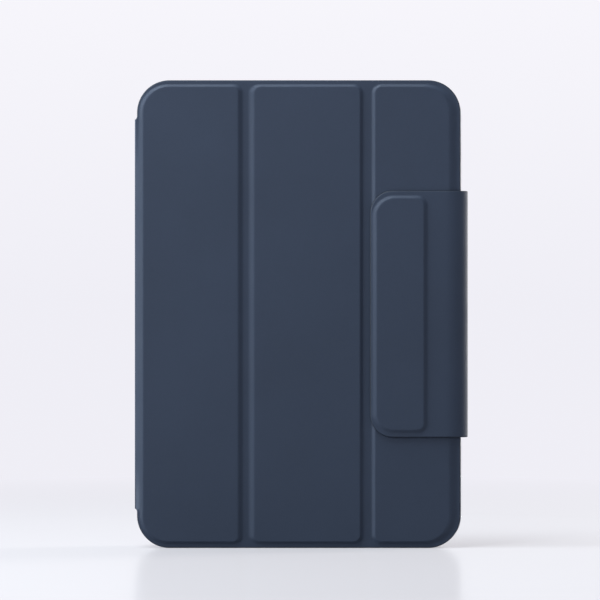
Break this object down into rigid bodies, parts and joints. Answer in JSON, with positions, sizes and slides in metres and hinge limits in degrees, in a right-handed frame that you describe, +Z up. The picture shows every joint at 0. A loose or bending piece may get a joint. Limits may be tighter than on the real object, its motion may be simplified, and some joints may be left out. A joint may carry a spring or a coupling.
{
  "type": "tablet keyboard case",
  "caption": "Tri-fold folio case for a small tablet with a magnetic closing flap, a hinged spine, a flexible tablet shell and a slim removable keyboard behind the cover.",
  "frame": {"origin": "centre of the bounding box in X and Y, on the lower short edge that the case stands on", "axes": "+Z up the case's long side, +X across the cover from the spine to the flap, +Y out of the back"},
  "size_m": [0.1414, 0.02, 0.1992],
  "materials": {
    "leather": "soft-touch synthetic leather, fine grain, matt",
    "lining": "brushed microfibre lining",
    "fibreboard": "pressed fibreboard stiffener",
    "frosted_shell": "frosted translucent flexible plastic",
    "ring": "fine satin",
    "magnet": "nickel plated",
    "steel": "rolled sheet",
    "kb_aluminium": "fine bead-blasted anodised",
    "keycap": "fine matt",
    "clear_film": "printed polyester film",
    "dome": "silicone",
    "link": "acetal",
    "cell": "pouch foil",
    "pcb": "solder mask",
    "socket": "nickel",
    "lens": "clear",
    "screw": "black zinc",
    "bumper": "matt"
  },
  "bodies": {
    "shell": {"tablet_shell": "frosted_shell", "back_skin": "leather", "back_board": "fibreboard", "shell_lining": "lining", "camera_ring": "ring"},
    "spine": {"spine_skin": "leather", "spine_board": "fibreboard", "spine_lining": "lining"},
    "panel_1": {"panel_1_skin": "leather", "panel_1_board": "fibreboard", "panel_1_lining": "lining", "panel_1_magnets": "magnet"},
    "panel_2": {"panel_2_skin": "leather", "panel_2_board": "fibreboard", "panel_2_lining": "lining", "panel_2_magnets": "magnet"},
    "panel_3": {"panel_3_skin": "leather", "panel_3_board": "fibreboard", "panel_3_lining": "lining", "panel_3_magnets": "magnet", "catch_plate": "steel"},
    "flap_band": {"flap_band_skin": "leather", "flap_band_lining": "lining"},
    "flap_tongue": {"tongue_skin": "leather", "tongue_lining": "lining", "tongue_stiffener": "fibreboard", "tongue_magnets": "magnet"},
    "keyboard": {"kb_base": "kb_aluminium", "kb_frame": "kb_aluminium", "kb_steel_plate": "steel", "kb_membrane": "clear_film", "kb_domes": "dome", "kb_scissors": "link", "kb_battery": "cell", "kb_circuit_board": "pcb", "kb_usb_socket": "socket", "kb_status_lens": "lens", "kb_screws": "screw", "kb_bumpers": "bumper", "kb_magnets": "magnet"},
    "power_switch": {"kb_power_switch": "keycap"},
    "space_bar": {"kb_space_bar": "keycap"},
    "key_row_1": {"kb_keys_row_1": "keycap"},
    "key_row_2": {"kb_keys_row_2": "keycap"},
    "key_row_3": {"kb_keys_row_3": "keycap"},
    "key_row_4": {"kb_keys_row_4": "keycap"},
    "key_row_5": {"kb_keys_row_5": "keycap"},
    "key_row_6": {"kb_keys_row_6": "keycap"}
  },
  "joints": [
    {"name": "spine_base", "type": "hinge", "parent": "shell", "child": "spine", "pos_m": [-0.07075, 0.00992, 0.0996], "axis": [0, 0, -1], "range_deg": [0, 180]},
    {"name": "cover_hinge", "type": "hinge", "parent": "spine", "child": "panel_1", "pos_m": [-0.07075, -0.00598, 0.0996], "axis": [0, 0, -1], "range_deg": [0, 180]},
    {"name": "fold_1", "type": "hinge", "parent": "panel_1", "child": "panel_2", "pos_m": [-0.02325, -0.00713, 0.0996], "axis": [0, 0, 1], "range_deg": [-120, 0]},
    {"name": "fold_2", "type": "hinge", "parent": "panel_2", "child": "panel_3", "pos_m": [0.02835, -0.00713, 0.0996], "axis": [0, 0, 1], "range_deg": [-120, 0]},
    {"name": "flap_swing", "type": "hinge", "parent": "shell", "child": "flap_band", "pos_m": [0.07075, 0.00997, 0.0996], "axis": [0, 0, 1], "range_deg": [0, 180]},
    {"name": "tongue_swing", "type": "hinge", "parent": "flap_band", "child": "flap_tongue", "pos_m": [0.07075, -0.0081, 0.0996], "axis": [0, 0, 1], "range_deg": [0, 120]},
    {"name": "keyboard_slide", "type": "slide", "parent": "panel_1", "child": "keyboard", "axis": [0, 0, 1], "range_m": [0, 0.2]},
    {"name": "power_slide", "type": "slide", "parent": "keyboard", "child": "power_switch", "axis": [1, 0, 0], "range_m": [0, 0.0025]},
    {"name": "press_row_1", "type": "slide", "parent": "keyboard", "child": "key_row_1", "axis": [0, -1, 0], "range_m": [0, 0.001], "stiffness_N_per_m": 600},
    {"name": "press_row_2", "type": "slide", "parent": "keyboard", "child": "key_row_2", "axis": [0, -1, 0], "range_m": [0, 0.001], "stiffness_N_per_m": 600},
    {"name": "press_row_3", "type": "slide", "parent": "keyboard", "child": "key_row_3", "axis": [0, -1, 0], "range_m": [0, 0.001], "stiffness_N_per_m": 600},
    {"name": "press_row_4", "type": "slide", "parent": "keyboard", "child": "key_row_4", "axis": [0, -1, 0], "range_m": [0, 0.001], "stiffness_N_per_m": 600},
    {"name": "press_row_5", "type": "slide", "parent": "keyboard", "child": "key_row_5", "axis": [0, -1, 0], "range_m": [0, 0.001], "stiffness_N_per_m": 600},
    {"name": "press_row_6", "type": "slide", "parent": "keyboard", "child": "key_row_6", "axis": [0, -1, 0], "range_m": [0, 0.001], "stiffness_N_per_m": 600},
    {"name": "press_space_bar", "type": "slide", "parent": "keyboard", "child": "space_bar", "axis": [0, -1, 0], "range_m": [0, 0.001], "stiffness_N_per_m": 600}
  ],
  "couplings": [
    {"joint": "fold_2", "follows": "fold_1", "ratio": 1}
  ]
}
